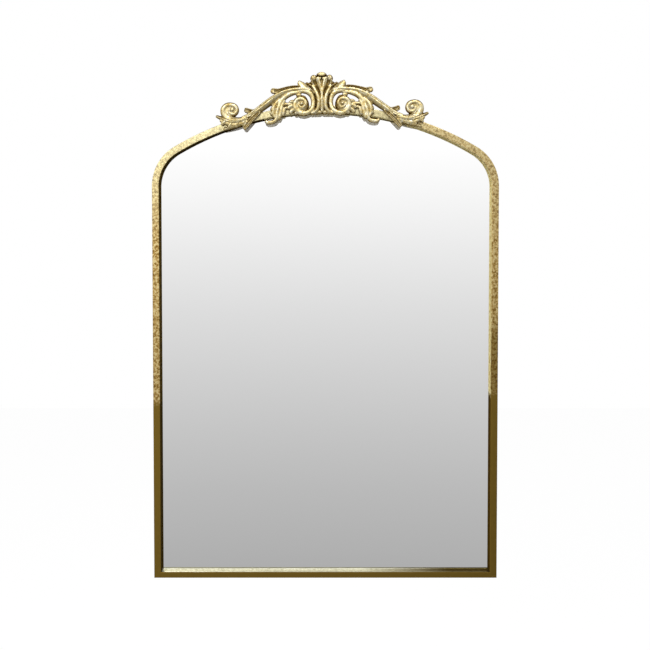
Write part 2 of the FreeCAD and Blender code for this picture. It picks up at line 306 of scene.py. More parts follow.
@dataclass(frozen=True)
class GoldLeaf(Finish):
    """Imitation gold leaf laid over size and toned with a brown glaze, on steel or cast resin.

    The eye sees a metal that is mottled where the leaf wrinkled and wore thin, pale on what stands proud
    and brown in the hollows, where the glaze lies together with painted shade. Painted tints and a painted
    dark reflection low down lie over it.
    """

    pale: str = "e9d49a"
    gold: str = "c2a05e"
    deep: str = "7f5f28"
    # Colour of the glaze together with painted shade, laid where the point attribute asks
    glaze_and_shade_colour: str = "6c5410"
    # Painted dark reflection low on the frame: its colour, the height where it starts, its blend and its slope
    low_shade: str = "866c2d"
    edge_tint: str = "b3914c"
    mottle_mm: float = 4.4
    speck_mm: float = 1.6
    speck_share: float = 0.25
    spread: float = 0.075
    roughness: float = 0.36
    duller: float = 0.12
    smoother: float = 0.08
    dent_mm: float = 0.2
    metallic: float = 1.0
    specular: float = 0.5
    painted_tones: tuple[PaintedTone, ...] = ()
    low_shade_below_mm: float | None = None
    low_shade_blend_mm: float = 7.0
    low_shade_slope: float = 0.023
    hollow: str | None = None

    def surface(self, tree: Tree, place: Socket) -> Inputs:
        """Draw the mottled leaf, its painted tints, the painted dark reflection low down, and the glaze with painted
        shade in the hollows and painted shade on tops that face up.

        Args:
            tree: The material's node tree.
            place: Object coordinates.

        Returns:
            Inputs of the shader.
        """
        mottle = add_node(tree, "TexNoise", {
            "Vector": place, "Scale": 1 / (self.mottle_mm * MM), "Detail": 4.0, "Roughness": 0.65})["Fac"]
        speck = add_node(tree, "TexNoise", {
            "Vector": place, "Scale": 1 / (self.speck_mm * MM), "Detail": 2.0, "Roughness": 0.6})["Fac"]
        worn = add_node(tree, "Mix", {0: self.speck_share, 2: mottle, 3: speck})[0]
        leaf = add_node(tree, "ValToRGB", {"Fac": worn}, (
            (0.48 - self.spread, linear(self.deep)), (0.49, linear(self.gold)),
            (0.5 + self.spread, linear(self.pale))))["Color"]
        rough = add_node(tree, "MapRange", {
            "Value": worn, "From Min": 0.3, "From Max": 0.7, "To Min": self.roughness + self.duller,
            "To Max": self.roughness - self.smoother})["Result"]
        for painted_tone in self.painted_tones:
            leaf = painted_tone.over(tree, place, leaf)
        height = worn
        if self.low_shade_below_mm is not None:
            leaf, height = self.shaded_low(tree, place, leaf, worn)
        # Glaze with painted shade in the hollows, and painted shade on tops that face up
        if self.hollow:
            glaze_and_shade = add_node(tree, "Attribute", attribute_name=self.hollow)["Fac"]
            leaf = add_node(tree, "Mix", {0: glaze_and_shade, 6: leaf, 7: linear(self.glaze_and_shade_colour)}, data_type="RGBA")[2]
        dents = add_node(tree, "Bump", {"Height": height, "Strength": 1.0, "Distance": self.dent_mm * MM})["Normal"]
        return {"Base Color": leaf, "Metallic": self.metallic, "Specular IOR Level": self.specular,
                "Specular Tint": linear(self.edge_tint), "Roughness": rough, "Normal": dents}

    def shaded_low(self, tree: Tree, place: Socket, leaf: Socket, worn: Socket) -> tuple[Socket, Socket]:
        """Let the leaf pass into a smooth, darker colour low on the frame: a painted dark reflection.

        Args:
            tree: The material's node tree.
            place: Object coordinates.
            leaf: The leaf's colour.
            worn: The leaf's mottle.

        Returns:
            The colour and the relief with the painted dark reflection below.
        """
        parts = add_node(tree, "SeparateXYZ", {0: place})
        upright = add_node(tree, "Math", {0: parts["X"], 1: -self.low_shade_slope, 2: parts["Z"]},
                           operation="MULTIPLY_ADD")[0]
        ragged = add_node(tree, "Math", {0: worn, 1: 4 * self.low_shade_blend_mm * MM, 2: upright},
                          operation="MULTIPLY_ADD")[0]
        middle = (self.low_shade_below_mm + 2 * self.low_shade_blend_mm) * MM
        share = add_node(tree, "MapRange", {"Value": ragged, "From Min": middle - self.low_shade_blend_mm * MM,
            "From Max": middle + self.low_shade_blend_mm * MM}, interpolation_type="SMOOTHSTEP")["Result"]
        colour = add_node(tree, "Mix", {0: share, 6: linear(self.low_shade), 7: leaf}, data_type="RGBA")[2]
        relief = add_node(tree, "Mix", {0: share, 2: 0.5, 3: worn})[0]
        return colour, relief


@dataclass(frozen=True)
class BareResin(Finish):
    """Cast resin left bare: off-white and matt, a little cloudy from the mould."""

    name: str = "bare_cast_resin"
    white: str = "f6f3ea"
    cloudy: str = "ebe6d8"
    cloud_mm: float = 14.0
    roughness: float = 0.6

    def surface(self, tree: Tree, place: Socket) -> Inputs:
        """Draw matt resin with soft clouds.

        Args:
            tree: The material's node tree.
            place: Object coordinates.

        Returns:
            Inputs of the shader.
        """
        cloud = add_node(tree, "TexNoise", {"Vector": place, "Scale": 1 / (self.cloud_mm * MM), "Detail": 3.0})["Fac"]
        colour = add_node(tree, "ValToRGB", {"Fac": cloud}, (
            (0.35, linear(self.cloudy)), (0.65, linear(self.white))))["Color"]
        return {"Base Color": colour, "Roughness": self.roughness}


@dataclass(frozen=True)
class SilveredGlass(Finish):
    """Float glass silvered on its back: a bright mirror with a painted shadow line along its bottom edge."""

    name: str = "silvered_float_glass"
    tint: str = "fdfdfd"
    shadow_line: str = "8f8f7c"
    shadow_line_below_mm: float = -585.2
    shadow_line_blend_mm: float = 0.4
    wave_mm: float = 120.0
    waviness: float = 0.4
    roughness: float = 0.012

    def surface(self, tree: Tree, place: Socket) -> Inputs:
        """Draw bright silver with an almost unseen waviness of the glass, and a painted shadow line along its bottom
        edge.

        Args:
            tree: The material's node tree.
            place: Object coordinates.

        Returns:
            Inputs of the shader.
        """
        wave = add_node(tree, "TexNoise", {"Vector": place, "Scale": 1 / (self.wave_mm * MM), "Detail": 1.0})["Fac"]
        rough = add_node(tree, "MapRange", {"Value": wave, "To Min": self.roughness * (1 - self.waviness),
            "To Max": self.roughness * (1 + self.waviness)})["Result"]
        # Painted shadow line: a thin grey band along the glass's bottom edge
        upright = add_node(tree, "SeparateXYZ", {0: place})["Z"]
        above_line = add_node(tree, "MapRange", {
            "Value": upright, "From Min": (self.shadow_line_below_mm - self.shadow_line_blend_mm) * MM,
            "From Max": (self.shadow_line_below_mm + self.shadow_line_blend_mm) * MM})["Result"]
        silver = add_node(tree, "Mix", {0: above_line, 6: linear(self.shadow_line), 7: linear(self.tint)}, data_type="RGBA")[2]
        return {"Base Color": silver, "Metallic": 1.0, "Roughness": rough}


@dataclass(frozen=True)
class Fibreboard(Finish):
    """Pressed hardboard: tan wood fibres matted in every direction, dull, with darker flecks."""

    name: str = "pressed_fibreboard"
    tan: str = "9a7650"
    dark: str = "6e5136"
    pale: str = "b8946a"
    fibre_mm: float = 3.0
    lay_degrees: float = 35.0
    lay_stretch: float = 0.3
    grit_mm: float = 0.9
    grit_share: float = 0.4
    relief_mm: float = 0.15
    roughness: float = 0.78

    def surface(self, tree: Tree, place: Socket) -> Inputs:
        """Draw stretched fibres and flecks.

        Args:
            tree: The material's node tree.
            place: Object coordinates.

        Returns:
            Inputs of the shader.
        """
        laid = add_node(tree, "Mapping", {"Vector": place, "Rotation": (0.0, math.radians(self.lay_degrees), 0.0),
            "Scale": (1.0, 1.0, self.lay_stretch)})["Vector"]
        fibre = add_node(tree, "TexNoise", {
            "Vector": laid, "Scale": 1 / (self.fibre_mm * MM), "Detail": 5.0, "Roughness": 0.7,
            "Distortion": 1.2})["Fac"]
        grit = add_node(tree, "TexNoise", {"Vector": place, "Scale": 1 / (self.grit_mm * MM), "Detail": 2.0})["Fac"]
        mat = add_node(tree, "Mix", {0: self.grit_share, 2: fibre, 3: grit})[0]
        colour = add_node(tree, "ValToRGB", {"Fac": mat}, (
            (0.36, linear(self.dark)), (0.5, linear(self.tan)), (0.66, linear(self.pale))))["Color"]
        relief = add_node(tree, "Bump", {"Height": mat, "Strength": 0.5, "Distance": self.relief_mm * MM})["Normal"]
        return {"Base Color": colour, "Roughness": self.roughness, "Normal": relief}


@dataclass(frozen=True)
class ZincPlate(Finish):
    """Bright zinc-plated steel: a cool grey metal with a faint spangle."""

    name: str = "zinc_plated_steel"
    bright: str = "c3c5c6"
    dull: str = "9fa2a5"
    spangle_mm: float = 4.0
    roughness: float = 0.34

    def surface(self, tree: Tree, place: Socket) -> Inputs:
        """Draw a metal with a spangle of small crystals.

        Args:
            tree: The material's node tree.
            place: Object coordinates.

        Returns:
            Inputs of the shader.
        """
        crystal = add_node(tree, "TexVoronoi", {"Vector": place, "Scale": 1 / (self.spangle_mm * MM)})["Color"]
        colour = add_node(tree, "ValToRGB", {"Fac": crystal}, (
            (0.2, linear(self.dull)), (0.8, linear(self.bright))))["Color"]
        rough = add_node(tree, "MapRange", {
            "Value": crystal, "To Min": self.roughness - 0.06, "To Max": self.roughness + 0.08})["Result"]
        return {"Base Color": colour, "Metallic": 1.0, "Roughness": rough}


@dataclass(frozen=True)
class FoamTape(Finish):
    """White closed-cell foam tape: matt, with fine open bubbles along its cut edge."""

    name: str = "closed_cell_foam"
    white: str = "e4e3dd"
    shade: str = "c4c3bb"
    bubble_mm: float = 0.6
    relief_mm: float = 0.1
    roughness: float = 0.85

    def surface(self, tree: Tree, place: Socket) -> Inputs:
        """Draw small bubbles.

        Args:
            tree: The material's node tree.
            place: Object coordinates.

        Returns:
            Inputs of the shader.
        """
        bubble = add_node(tree, "TexVoronoi", {"Vector": place, "Scale": 1 / (self.bubble_mm * MM)})["Distance"]
        colour = add_node(tree, "ValToRGB", {"Fac": bubble}, (
            (0.1, linear(self.shade)), (0.5, linear(self.white))))["Color"]
        relief = add_node(tree, "Bump", {
            "Height": bubble, "Strength": 0.6, "Distance": self.relief_mm * MM})["Normal"]
        return {"Base Color": colour, "Roughness": self.roughness, "Normal": relief}


@dataclass
class TubeFrame:
    """Rectangular steel tube bent into the stiles and arch, with the bottom tube mitred into it.

    The same shape, made small, is a thin strip that covers the gap round the glass and carries painted shade and
    painted light.
    """

    name: str = "gilt_tube"
    width: float = 610.0
    bottom_z: float = -600.0
    shoulder_z: float = 96.0
    shoulder_radius: float = 80.0
    arch_radius: float = 525.0
    face: float = 12.5
    bottom_face: float = 10.5
    back_y: float = 0.0
    depth: float = 30.0
    edge: float = 1.1
    edge_steps: int = 3
    shoulder_steps: int = 28
    arch_steps: int = 60
    smooth_degrees: float = 40.0
    lining_turn: float = 0.3

    @property
    def shoulder_x(self) -> float:
        """Distance of a shoulder's centre from the middle, in mm."""
        return self.width / 2 - self.shoulder_radius

    @property
    def arch_centre_z(self) -> float:
        """Height of the arch's centre, in mm."""
        reach = self.arch_radius - self.shoulder_radius
        return self.shoulder_z - math.sqrt(reach ** 2 - self.shoulder_x ** 2)

    @property
    def arch_top_z(self) -> float:
        """Height of the arch's top edge, in mm."""
        return self.arch_centre_z + self.arch_radius

    def section(self, name: str, centre: Place, spans: Place, turn: float) -> Piece:
        """Start a tube from its rounded rectangular section, left in edit mode and selected.

        Args:
            name: The piece's name.
            centre: Middle of the section, in mm.
            spans: Size of the section along X, Y and Z, in mm.
            turn: Angle about Y in degrees that turns the flat section to the tube's start.

        Returns:
            The piece.
        """
        deselect()
        bpy.ops.mesh.primitive_plane_add(size=1.0, location=(0, 0, 0))
        piece = started(name)
        lay(centre, tuple(max(span, 1.0) for span in spans), turn)
        bpy.ops.mesh.bevel(offset=self.edge * MM, segments=self.edge_steps, affect="VERTICES")
        bpy.ops.mesh.select_all(action="SELECT")
        return piece

    def bend(self, angle: float, centre_x: float, centre_z: float, steps: int) -> None:
        """Spin the selected end of the tube about a centre in the frame's plane.

        Args:
            angle: Angle of the bend in radians, clockwise from the front.
            centre_x: Centre of the bend across, in mm.
            centre_z: Centre of the bend upwards, in mm.
            steps: Steps of the bend.
        """
        bpy.ops.mesh.spin(steps=steps, angle=-angle, axis=(0, 1, 0),
                          center=(centre_x * MM, 0, centre_z * MM))

    def arch_tube(self) -> Piece:
        """Model the stiles and arch as one tube, bent from the left foot round to the right one.

        Returns:
            The tube, its feet cut to the mitre.
        """
        meet = math.atan2(self.shoulder_z - self.arch_centre_z, self.shoulder_x)
        foot = (-(self.width - self.face) / 2, self.back_y - self.depth / 2, self.bottom_z)
        piece = self.section(f"{self.name}_arch", foot, (self.face, self.depth, 0), 0.0)
        rise = (self.shoulder_z - self.bottom_z) * MM
        bpy.ops.mesh.extrude_region_move(TRANSFORM_OT_translate={"value": (0, 0, rise)})
        self.bend(meet, -self.shoulder_x, self.shoulder_z, self.shoulder_steps)
        self.bend(math.pi - 2 * meet, 0.0, self.arch_centre_z, self.arch_steps)
        self.bend(meet, self.shoulder_x, self.shoulder_z, self.shoulder_steps)
        bpy.ops.mesh.extrude_region_move(TRANSFORM_OT_translate={"value": (0, 0, -rise)})
        edit_mode(False)
        slope = self.bottom_face / self.face
        self.mitre(piece, lambda p: abs(p.z - self.bottom_z * MM) < NEAR_MM * MM,
                   lambda p: Vector((0, 0, slope * (self.width / 2 * MM - abs(p.x)))))
        return piece

    def bottom_tube(self) -> Piece:
        """Model the bottom tube.

        Returns:
            The tube, its ends cut to the mitre.
        """
        start = (-self.width / 2, self.back_y - self.depth / 2, self.bottom_z + self.bottom_face / 2)
        piece = self.section(f"{self.name}_bottom", start, (0, self.depth, self.bottom_face), 90.0)
        bpy.ops.mesh.extrude_region_move(TRANSFORM_OT_translate={"value": (self.width * MM, 0, 0)})
        edit_mode(False)
        slope = self.face / self.bottom_face
        self.mitre(piece, lambda p: True,
                   lambda p: Vector((-math.copysign(slope * (p.z - self.bottom_z * MM), p.x), 0, 0)))
        return piece

    def mitre(self, piece: Piece, at_end: Callable[[Vector], bool], slide: Callable[[Vector], Vector]) -> None:
        """Slide the points of a tube's ends onto the mitre and finish the tube.

        Args:
            piece: The tube.
            at_end: Says whether a point belongs to an end.
            slide: Gives the way that such a point moves.
        """
        for point in piece.data.vertices:
            if at_end(point.co):
                point.co += slide(point.co)
        close_mesh(piece)
        settle(piece, self.smooth_degrees)
        apply_modifier(piece, "WEIGHTED_NORMAL", keep_sharp=True)

    def line_inside(self, piece: Piece, *finishes: tuple[Material, Place, float]) -> None:
        """Give the tube's walls that face the glass finishes of their own, which paint light and shade on them by the
        way that they face.

        Args:
            piece: A dressed tube.
            finishes: Material, the way that its walls face, and how far round the edges it goes, for each finish.
        """
        middle = Vector((0, 0, (self.bottom_z + self.arch_top_z) / 2)) * MM
        for material, facing, limit in finishes:
            piece.data.materials.append(material)
            for face in piece.data.polygons:
                inside = abs(face.normal.y) < limit and face.normal.dot((face.center - middle) * Vector((1, 0, 1))) < 0
                if inside and face.normal.dot(Vector(facing)) > self.lining_turn:
                    face.material_index = len(piece.data.materials) - 1

    def build(self, gilt: Material, shade_leaf: Material, lit_leaf: Material, bright: Material) -> None:
        """Model and dress both tubes.

        Args:
            gilt: Gold leaf on the steel.
            shade_leaf: Dark leaf that paints shade on the inner walls that face right or down, and on the ledge's
                edge.
            lit_leaf: Pale leaf that paints light on the inner wall that faces left.
            bright: Leaf that paints a highlight on the ledge at the bottom.
        """
        arch, bottom = self.arch_tube(), self.bottom_tube()
        for piece, node in ((arch, "frame_arch_tube"), (bottom, "frame_bottom_tube")):
            dress(piece, gilt)
            mount(piece, "mirror", "gilt_steel", node)
        # Painted light on the right stile's inner wall and the arch above it, painted shade on the left stile's inner
        # wall and on its rounded edge
        self.line_inside(arch, (lit_leaf, (-0.7, 0, -0.5), 0.3), (shade_leaf, (0.95, 0, -0.1), 0.3),
                         (shade_leaf, (1, 0, 0), 0.9))
        # Painted shade on the ledge's rounded edge, painted highlight on its top
        self.line_inside(bottom, (shade_leaf, (0, 0, 1), 0.8), (bright, (0, 0, 1), 0.1))

    def build_painted_strip(self, shade_leaf: Material, lit_leaf: Material, bright: Material) -> None:
        """Model and dress the thin strip round the glass, which carries painted shade and painted light.

        Args:
            shade_leaf: Dark leaf that paints shade on its left side and most of its arch.
            lit_leaf: Pale leaf that paints light on its right side.
            bright: Leaf that paints a highlight on its bottom side.
        """
        arch, bottom = self.arch_tube(), self.bottom_tube()
        dress(arch, shade_leaf)
        dress(bottom, bright)
        # Painted light on the right side, painted shade on the left side and most of the arch
        arch.data.materials.append(lit_leaf)
        for face in arch.data.polygons:
            face.material_index = int(face.center.x > self.width / 4 * MM)
        for piece in (arch, bottom):
            mount(piece, "mirror", "gilt_steel")


class Section(Enum):
    """Cross-section of a carved strand."""

    ROUND = "half round"
    RIDGE = "two slopes that meet in a ridge"
    GUTTER = "hollow between two raised rims"
    SLOPE = "crown near the upper edge and a long slope below it"

    @property
    def edge_share(self) -> float:
        """Height of a round or ridged strand's edge, as a share of its crown's."""
        return 0.35

    def rise(self, across: np.ndarray) -> np.ndarray:
        """Give the section's height as a share of the strand's.

        Args:
            across: Places across the strand, from -1 to 1.

        Returns:
            Height share at each place.
        """
        edge = np.abs(across)
        if self is Section.ROUND:
            return self.edge_share + (1 - self.edge_share) * np.sqrt(np.maximum(0, 1 - edge ** 2.6))
        if self is Section.RIDGE:
            return self.edge_share + (1 - self.edge_share) * (1 - edge ** 1.3)
        if self is Section.SLOPE:
            return np.interp(across, (-1.0, -0.85, -0.6, -0.35, 0.6, 1.0), (0.4, 0.85, 1.0, 0.97, 0.55, 0.3))
        return np.interp(edge, (0.0, 0.35, 0.65, 0.8, 0.93, 1.0), (0.58, 0.66, 0.97, 1.0, 0.8, 0.4))


@dataclass(frozen=True)
class Strand:
    """Carved stem, rib or leaf of the crest's right half.

    Its path holds x, z, width and relief height in mm, from the arch's top.
    """

    path: Path
    section: Section = Section.ROUND
    least_steps: int = 8

    def line(self, step: float) -> np.ndarray:
        """Run a smooth line through the path.

        Args:
            step: Spacing of the line's points in mm.

        Returns:
            One row of x, z, width, height, distance and the sideways direction for each point.
        """
        knots = np.array(self.path, float)
        gaps = np.linalg.norm(np.diff(knots[:, :2], axis=0), axis=1)
        at = np.concatenate([[0.0], np.cumsum(gaps)])
        pull = np.gradient(knots, at, axis=0)
        along = np.linspace(0, at[-1], max(self.least_steps, round(at[-1] / step)) + 1)
        k = np.clip(np.searchsorted(at, along, side="right") - 1, 0, len(gaps) - 1)
        gap = gaps[k][:, None]
        t = (along - at[k])[:, None] / gap
        rows = ((2 * t ** 3 - 3 * t ** 2 + 1) * knots[k] + (t ** 3 - 2 * t ** 2 + t) * gap * pull[k]
                + (3 * t ** 2 - 2 * t ** 3) * knots[k + 1] + (t ** 3 - t ** 2) * gap * pull[k + 1])
        run = np.gradient(rows[:, :2], along, axis=0)
        run /= np.linalg.norm(run, axis=1)[:, None]
        return np.column_stack([rows, along, run[:, 1], -run[:, 0]])


S = Section
STRANDS: tuple[Strand, ...] = (
    # Scroll from the arm over the top, down beside the fan and round into the inner eye
    Strand(((43.5, 25.5, 6, 7.5), (33, 26, 8, 8.5), (24, 24, 9.5, 9), (17.5, 17.5, 9.5, 8.5), (15, 9, 9, 8.5),
            (15.5, 0.5, 9, 8.5), (19, -7, 9, 9), (26, -11.5, 9, 9), (34, -12.5, 9, 9), (41.5, -9.5, 9.5, 9),
            (46.5, -3.5, 9.5, 9.5), (47, 4.5, 9.5, 9.5), (43.5, 10.5, 9, 10), (37, 12.5, 8.5, 10), (31, 10, 8, 10),
            (28.5, 4.5, 7.5, 10), (30.5, -0.5, 6.5, 9.5), (35.5, -3, 6, 9.5), (40, 0, 5.5, 9.5), (40, 4.5, 4, 9))),
    # Rim and broad band of the arm
    Strand(((19, 26.5, 4, 8.5), (30.5, 29.5, 5.5, 9.5), (43.5, 29.5, 6.5, 9.5), (56, 28, 6.5, 9.5),
            (67.5, 25, 6.5, 9.5), (78.5, 20, 5.5, 9.5), (89, 14.5, 4.5, 9.5), (99.5, 7.5, 4, 9.5), (109.5, 0, 4, 9),
            (119, -7, 4.5, 9), (129.5, -14, 5, 9), (141.5, -20, 5.5, 9))),
    Strand(((56, 24.5, 5.5, 7.5), (67, 20, 8, 8.5), (77.5, 15, 10.5, 9), (88, 8.5, 10.5, 9), (98.5, 1, 9.5, 9),
            (108.5, -6, 9, 8.5), (119.5, -13, 8.5, 8.5), (132, -19, 8, 9)), S.SLOPE),
    # Lower strand, which bends down into the hanging leaf
    Strand(((35, 23, 5.5, 7.5), (46, 23.5, 7, 8), (56.5, 21, 9, 8.5), (64.5, 16.5, 9.5, 8.5), (70.5, 10, 9.5, 8.5),
            (74, 2.5, 9, 8.5), (76, -5.5, 7, 8.5))),
    # Leaf along the arm's top, small leaf half-way down it, and the spike that crosses the tube
    Strand(((32.5, 30.5, 4, 7), (43, 33, 5.5, 7.5), (55, 32.5, 5.5, 8), (67, 29.5, 6.5, 8), (77.5, 26.5, 8.5, 8.5),
            (89, 27.5, 10.5, 9.5)), S.GUTTER),
    Strand(((107.5, -6.5, 5.5, 6.5), (117, -8, 7, 7), (126.5, -7.5, 8.5, 7.5), (136.5, -4.5, 9, 8.5)), S.GUTTER),
    Strand(((108.5, -8, 6, 7.5), (119, -17.5, 7.5, 8), (129.5, -28.5, 8.5, 8), (138, -39, 7, 7)), S.GUTTER),
    # Outer coil and the frills of leaf under it
    Strand(((120.5, -12.5, 5, 7), (132, -18, 6, 7), (143.5, -21, 7, 7.5), (155.5, -21.5, 8.5, 8),
            (166, -18.5, 9.5, 9), (172, -11, 10.5, 9.5), (172, -3, 10, 10), (167, 2.5, 9, 10), (158.5, 3.5, 9, 10.5),
            (151.5, 0.5, 8.5, 10.5), (149, -6, 7.5, 10), (151.5, -11, 7.5, 10), (157.5, -12.5, 6.5, 9.5),
            (162, -9.5, 5.5, 9.5), (162.5, -4, 4.5, 9.5))),
    Strand(((122, -14.5, 4, 8.5), (134, -19, 5, 9.5), (146, -20.5, 5.5, 10), (157, -18, 5, 10),
            (164, -14, 3.5, 9)), S.RIDGE),
    Strand(((128.5, -20, 5.5, 8.5), (141.5, -24.5, 6.5, 9.5), (155, -26, 7, 9.5), (167, -23.5, 7, 9),
            (176.5, -19, 7, 7.5), (186.5, -14.5, 4.5, 5.5)), S.RIDGE),
    Strand(((134, -20.5, 4, 9), (146, -23.5, 5, 10), (159, -22.5, 5.5, 10), (171, -17.5, 4, 9))),
    Strand(((130.5, -23.5, 5.5, 7.5), (143.5, -29, 7.5, 7.5), (156.5, -30.5, 7.5, 7.5), (169, -27, 7.5, 7),
            (179.5, -21.5, 5.5, 5.5))),
    Strand(((129.5, -25, 5.5, 6.5), (142.5, -30, 6.5, 6.5), (156.5, -34, 6.5, 6.5), (174, -38, 5.5, 5.5)), S.RIDGE),
    Strand(((134.5, -23, 5.5, 8), (138, -28, 6.5, 8), (140.5, -32.5, 5, 6.5))),
    Strand(((145, -24.5, 5.5, 8), (149, -30.5, 7, 8), (151.5, -35.5, 5, 6.5))),
    Strand(((156.5, -25, 5.5, 8), (161, -31, 7, 8), (164, -36.5, 5, 6.5))),
    Strand(((167, -22.5, 5.5, 8), (172.5, -26.5, 6.5, 7.5), (177, -31, 5, 6))),
    # Ribs of the hanging leaf, the middle one curled up at its tip, and the lobes of its outer edge
    Strand(((71.5, 13.5, 6, 7.5), (79.5, 6.5, 7.5, 8), (84.5, -1.5, 8, 8.5), (85.5, -10.5, 7, 8),
            (83, -20.5, 5.5, 7))),
    Strand(((70.5, 7.5, 6, 7.5), (76.5, -1.5, 7, 9), (79, -11, 7, 9), (79.5, -20, 7, 8.5), (83, -25, 7, 8),
            (90.5, -27.5, 7, 7.5), (97, -27, 6.5, 7.5), (99.5, -23.5, 5.5, 7))),
    Strand(((65, 11, 5.5, 7.5), (70, 1, 7, 8), (72.5, -9.5, 7, 8), (74.5, -18.5, 6.5, 7.5), (77, -24, 5, 6.5))),
    Strand(((65, -1.5, 5.5, 6.5), (67, -9.5, 6.5, 6.5), (69, -17.5, 5.5, 5.5))),
    Strand(((81.5, 6, 4.5, 7.5), (85.5, 3, 5.5, 7), (88, 0, 4, 6))),
    Strand(((84, -1.5, 4.5, 7.5), (88, -4.5, 5.5, 7), (89.5, -8, 4, 6))),
    Strand(((84.5, -9, 4.5, 7.5), (88, -12.5, 5.5, 7), (89, -16, 4, 6))),
    # Twig and its bud between the hanging leaf and the inner coil
    Strand(((72.5, 2, 4.5, 6), (65.5, 3.5, 5.5, 6.5), (58.5, 4, 5.5, 6), (50.5, 4, 4.5, 6))),
    Strand(((66.5, -2, 4, 5.5), (60.5, -2.5, 5.5, 6), (52.5, -1.5, 4.5, 6))),
    # Lobes that wrap the inner coil, and the teeth under it
    Strand(((47, 7.5, 5.5, 7), (53, 8, 6, 7), (58, 6, 4, 6))),
    Strand(((48, 1.5, 7.5, 8), (55, 0, 8.5, 7.5), (60.5, -5, 6, 6.5))),
    Strand(((47, -4.5, 7.5, 8), (53, -8, 8.5, 7.5), (57, -13.5, 6, 6.5))),
    Strand(((42.5, -9, 7, 8), (46, -12.5, 7.5, 7.5), (48, -15, 6, 6.5))),
    Strand(((37, -11, 7, 8), (38, -14.5, 7, 7.5), (38.5, -17, 6, 6.5))),
    Strand(((31.5, -11.5, 7, 8), (32, -15, 7, 7.5), (32, -18, 6, 6.5))),
    Strand(((26, -11, 7, 8), (25.5, -14, 7, 7.5), (25.5, -16.5, 5.5, 6.5))),
    # Bud and thin leaf over the inner coil
    Strand(((45.5, 18, 5.5, 6.5), (40.5, 19, 7, 7.5), (35.5, 18, 6, 7))),
    Strand(((38.5, 17.5, 4, 6), (31, 16.5, 3.5, 5.5), (26, 10, 3, 5), (24, 2, 3, 5), (25.5, -3.5, 4, 5.5)), S.RIDGE),
    # Fan, from the scroll inwards: leaf with its pale blade, two small leaves, rolled leaf, outer rib, stem and branch
    Strand(((12, 19.5, 4.5, 9), (18, 27, 5, 9.5), (25, 33.5, 5, 9.5), (32, 39, 4.5, 9), (41, 44, 3, 7)), S.RIDGE),
    Strand(((19, 22.5, 6, 8), (27.5, 28, 10, 9), (34, 33.5, 10.5, 9), (38, 38, 8.5, 8), (41.5, 42, 5, 7))),
    Strand(((8.5, 22.5, 5, 9), (14, 30.5, 5.5, 9), (20.5, 36, 5.5, 8.5), (28, 41, 3, 6.5)), S.RIDGE),
    Strand(((10, 31.5, 5.5, 9.5), (15.5, 37.5, 5.5, 9), (21.5, 41.5, 4, 7.5)), S.RIDGE),
    Strand(((4, 2.5, 5.5, 7.5), (5, 17, 7, 8), (8, 30, 9, 9), (11.6, 39.5, 11, 10.5),
            (14, 49, 11.5, 12.6)), S.GUTTER),
    Strand(((20.5, -13, 5.5, 7.5), (13, -10.5, 6.5, 9), (8, -6, 7.5, 10.5), (6, 2.5, 7.5, 11.5), (6.5, 12, 7.5, 12),
            (9, 21.5, 7.5, 12), (13, 29.5, 6.5, 11), (17.5, 36, 4.5, 9.5))),
    Strand(((0, -12, 9, 8.5), (0, -1, 7, 9.5), (0, 13, 7, 10.5), (0, 24, 5.5, 10.5))),
    Strand(((0, 16.5, 4.5, 10), (2, 29.5, 5.5, 11), (4, 39.5, 5.5, 11.5), (6.5, 47.5, 7, 12))),
    Strand(((0, -11, 7.5, 7.5), (8, -11.5, 6.5, 7.5), (15, -13, 4.5, 7))),
)


